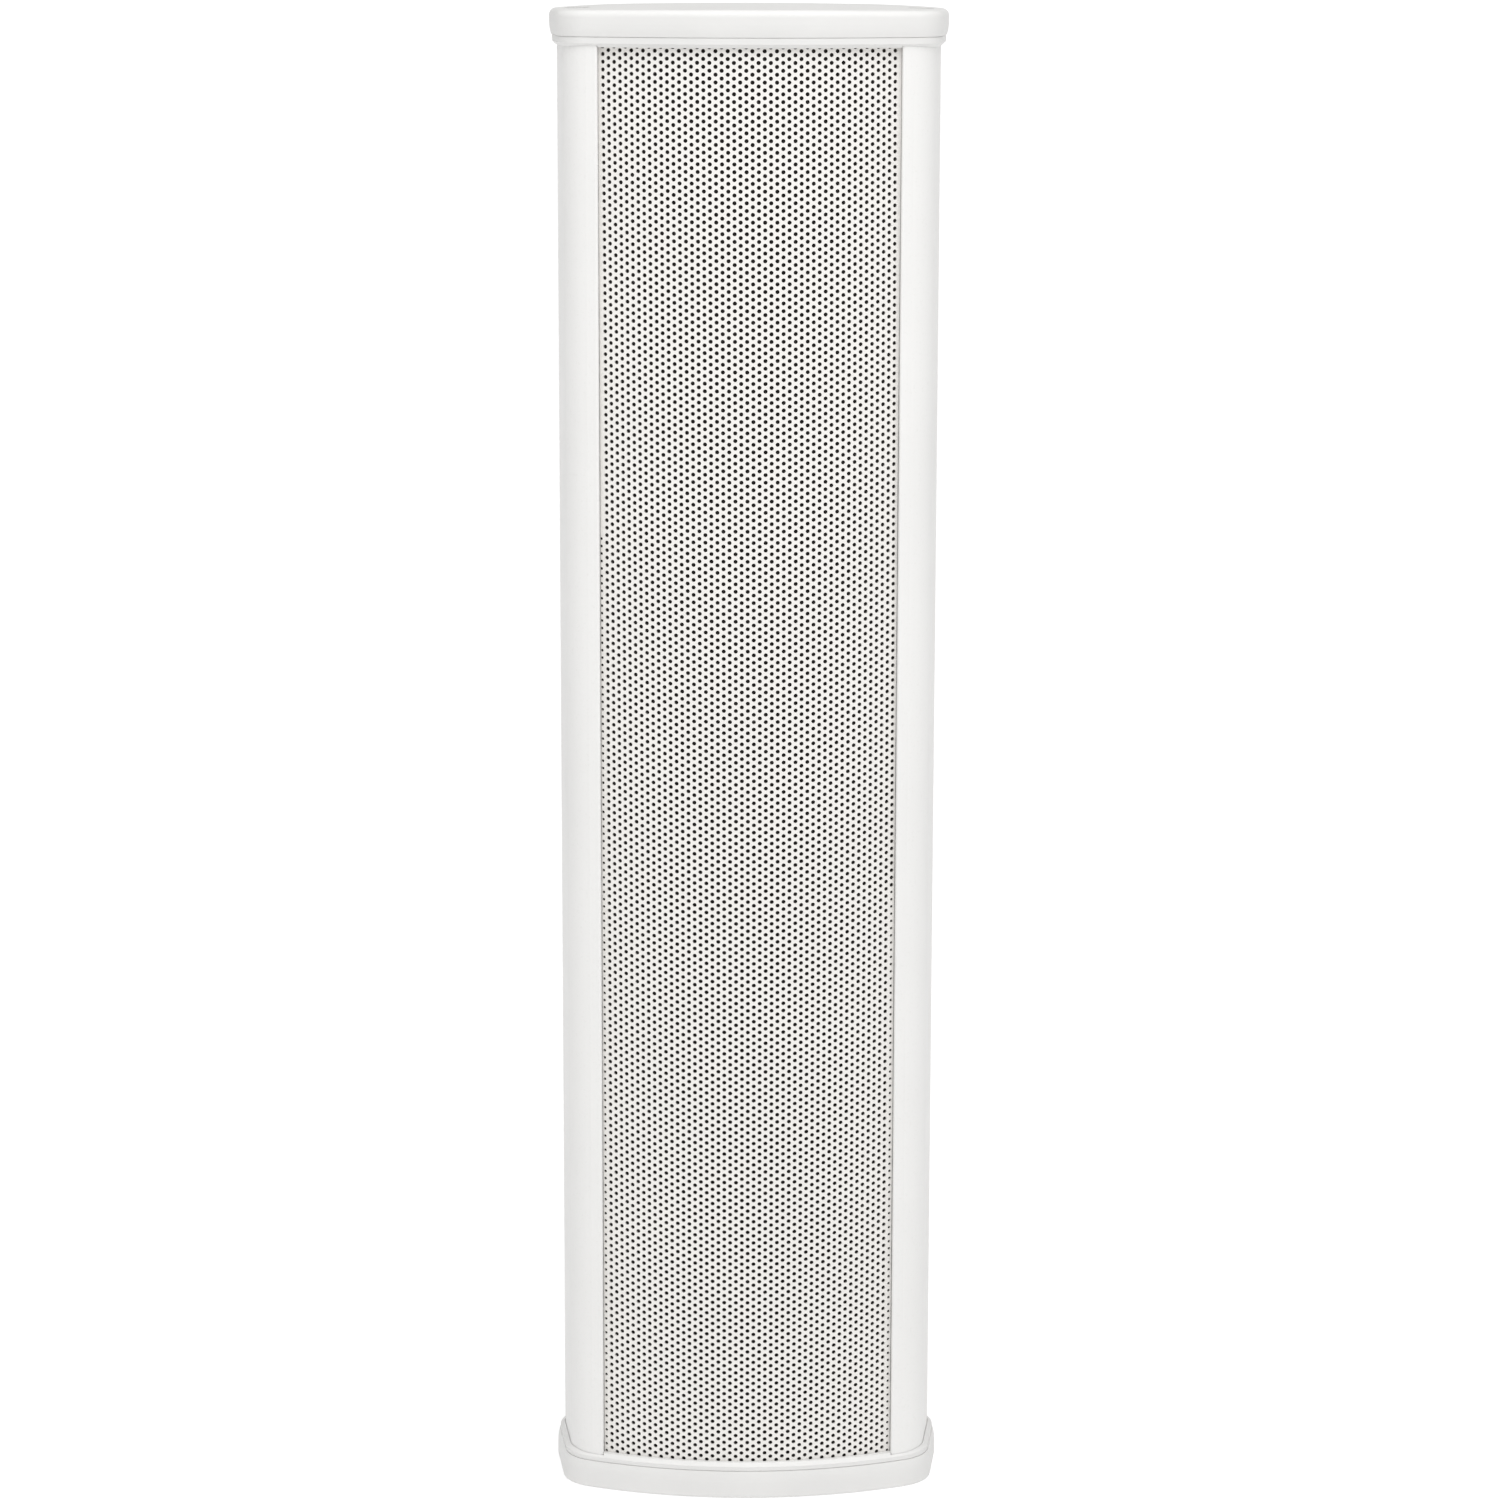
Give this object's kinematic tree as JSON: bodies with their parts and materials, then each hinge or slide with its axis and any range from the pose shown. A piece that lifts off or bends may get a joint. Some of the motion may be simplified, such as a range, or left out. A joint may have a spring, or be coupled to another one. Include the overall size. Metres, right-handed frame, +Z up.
{
  "type": "column loudspeaker",
  "caption": "White wall-mount column loudspeaker: aluminium body with a curved perforated grille, moulded end caps and a tilting, swivelling rear bracket.",
  "frame": {"origin": "centre of the flat base of the bottom cap", "axes": "+Z up along the column, -Y out of the grille, +X to the right as seen from the front"},
  "size_m": [0.1328, 0.1715, 0.5044],
  "materials": {
    "white_powder_coat": "white satin powder coat",
    "grille_paint": "satin powder coat on perforated steel",
    "acoustic_cloth": "open black cloth",
    "cap_plastic": "fine moulded grain",
    "gasket_rubber": "soft foam rubber",
    "zinc_screw": "bright zinc",
    "baffle_board": "black painted fibreboard",
    "ferrite": "ground ferrite",
    "motor_steel": "zinc plated",
    "basket_paint": "black satin paint",
    "surround_rubber": "matt",
    "spider_cloth": "varnished weave",
    "cone_paper": "pressed pulp",
    "coil_copper": "enamelled copper",
    "core_iron": "varnished laminations",
    "winding_tape": "polyester tape",
    "terminal_plastic": "moulded",
    "lead_insulation": "extruded",
    "wadding": "loose polyester fibre",
    "gland_plastic": "light grey nylon",
    "gland_rubber": "matt",
    "bracket_paint": "satin powder coat on steel"
  },
  "bodies": {
    "cabinet": {"acoustic_cloth": "acoustic_cloth", "baffle": "baffle_board", "basket_1": "basket_paint", "basket_2": "basket_paint", "basket_3": "basket_paint", "basket_4": "basket_paint", "bottom_cap": "cap_plastic", "bottom_collar": "cap_plastic", "bracket_bolts": "zinc_screw", "bracket_clevis": "bracket_paint", "cabinet_extrusion": "white_powder_coat", "cap_screws": "zinc_screw", "damping_wadding": "wadding", "driver_gaskets": "gasket_rubber", "driver_screws": "zinc_screw", "driver_wiring": "lead_insulation", "end_gaskets": "gasket_rubber", "gland_body": "gland_plastic", "gland_lock_nut": "gland_plastic", "gland_nut": "gland_plastic", "gland_seal": "gland_rubber", "grille": "grille_paint", "magnets": "ferrite", "motor_plates": "motor_steel", "rivet_nuts": "zinc_screw", "spider_1": "spider_cloth", "spider_2": "spider_cloth", "spider_3": "spider_cloth", "spider_4": "spider_cloth", "surround_1": "surround_rubber", "surround_2": "surround_rubber", "surround_3": "surround_rubber", "surround_4": "surround_rubber", "terminal_block": "terminal_plastic", "tilt_bolt": "zinc_screw", "tilt_nut": "zinc_screw", "top_cap": "cap_plastic", "top_collar": "cap_plastic", "transformer_core": "core_iron", "transformer_frame": "motor_steel", "transformer_screws": "zinc_screw", "transformer_winding": "winding_tape"},
    "swivel_arm": {"swivel_arm": "bracket_paint"},
    "wall_plate": {"wall_plate": "bracket_paint", "swivel_bolt": "zinc_screw", "swivel_nut": "zinc_screw"},
    "cone_1": {"cone_1": "cone_paper", "dust_cap_1": "cone_paper", "voice_coil_1": "coil_copper"},
    "cone_2": {"cone_2": "cone_paper", "dust_cap_2": "cone_paper", "voice_coil_2": "coil_copper"},
    "cone_3": {"cone_3": "cone_paper", "dust_cap_3": "cone_paper", "voice_coil_3": "coil_copper"},
    "cone_4": {"cone_4": "cone_paper", "dust_cap_4": "cone_paper", "voice_coil_4": "coil_copper"}
  },
  "joints": [
    {"name": "tilt", "type": "hinge", "parent": "cabinet", "child": "swivel_arm", "pos_m": [0, 0.0695, 0.2522], "axis": [1, 0, 0], "range_deg": [-12, 12]},
    {"name": "swivel", "type": "hinge", "parent": "swivel_arm", "child": "wall_plate", "pos_m": [0, 0.0995, 0.2522], "axis": [0, 0, 1], "range_deg": [-40, 40]},
    {"name": "cone_1_travel", "type": "slide", "parent": "cabinet", "child": "cone_1", "axis": [0, -1, 0], "range_m": [-0.002, 0.002], "stiffness_N_per_m": 1200, "deforming": ["surround_1", "spider_1"]},
    {"name": "cone_2_travel", "type": "slide", "parent": "cabinet", "child": "cone_2", "axis": [0, -1, 0], "range_m": [-0.002, 0.002], "stiffness_N_per_m": 1200, "deforming": ["surround_2", "spider_2"]},
    {"name": "cone_3_travel", "type": "slide", "parent": "cabinet", "child": "cone_3", "axis": [0, -1, 0], "range_m": [-0.002, 0.002], "stiffness_N_per_m": 1200, "deforming": ["surround_3", "spider_3"]},
    {"name": "cone_4_travel", "type": "slide", "parent": "cabinet", "child": "cone_4", "axis": [0, -1, 0], "range_m": [-0.002, 0.002], "stiffness_N_per_m": 1200, "deforming": ["surround_4", "spider_4"]}
  ]
}
